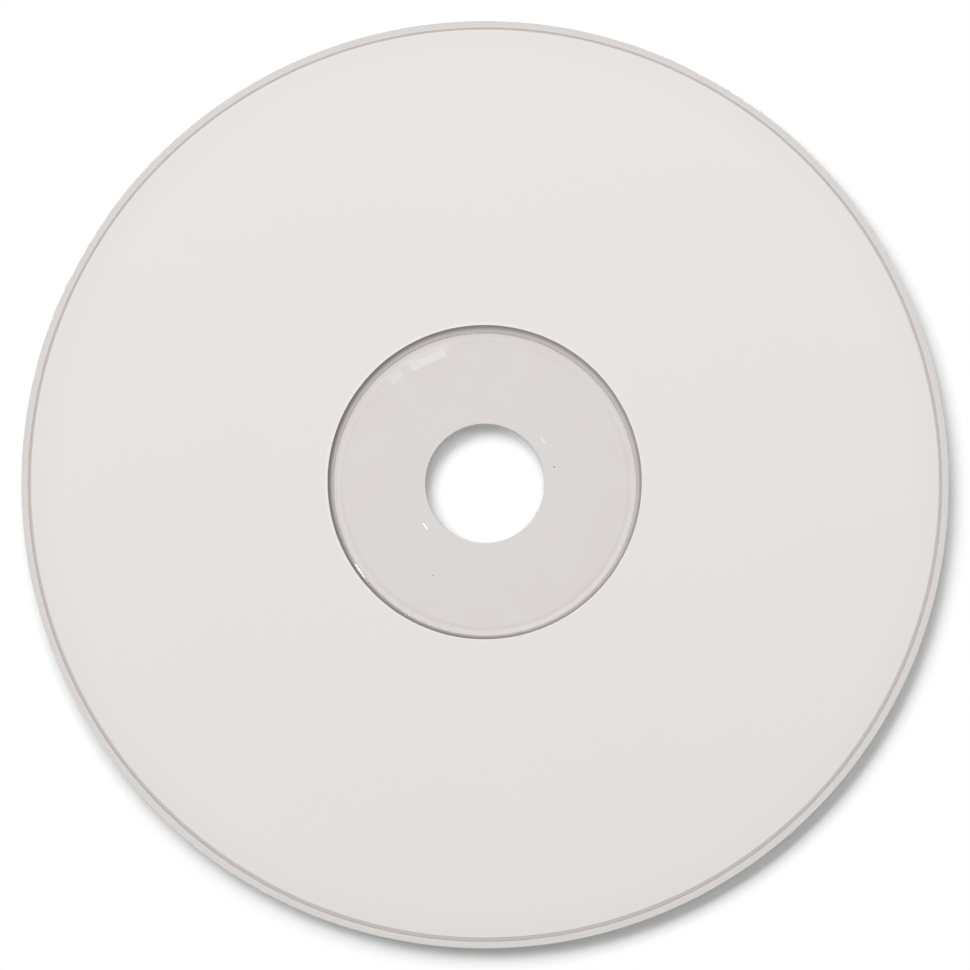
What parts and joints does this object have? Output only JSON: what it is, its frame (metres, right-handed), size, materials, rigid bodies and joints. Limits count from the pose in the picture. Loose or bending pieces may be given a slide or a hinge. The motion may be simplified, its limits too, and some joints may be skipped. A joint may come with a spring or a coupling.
{
  "type": "compact disc",
  "caption": "Thin clear round disc with a centre hole, a metal film and a blank white printable face.",
  "frame": {"origin": "on the disc's axis, at the height of the surface that the stacking ring rests on", "axes": "+Z along the disc's axis, out of the white label face; +Y towards the top of the picture"},
  "size_m": [0.12, 0.12, 0.0014],
  "materials": {
    "clear_moulding": "clear moulded polycarbonate, polished",
    "metal_film": "bright metal film, iridescent from the readout side",
    "white_coat": "matte white, blank"
  },
  "bodies": {
    "root": {"substrate": "clear_moulding", "reflective_film": "metal_film", "print_coat": "white_coat"}
  },
  "joints": []
}
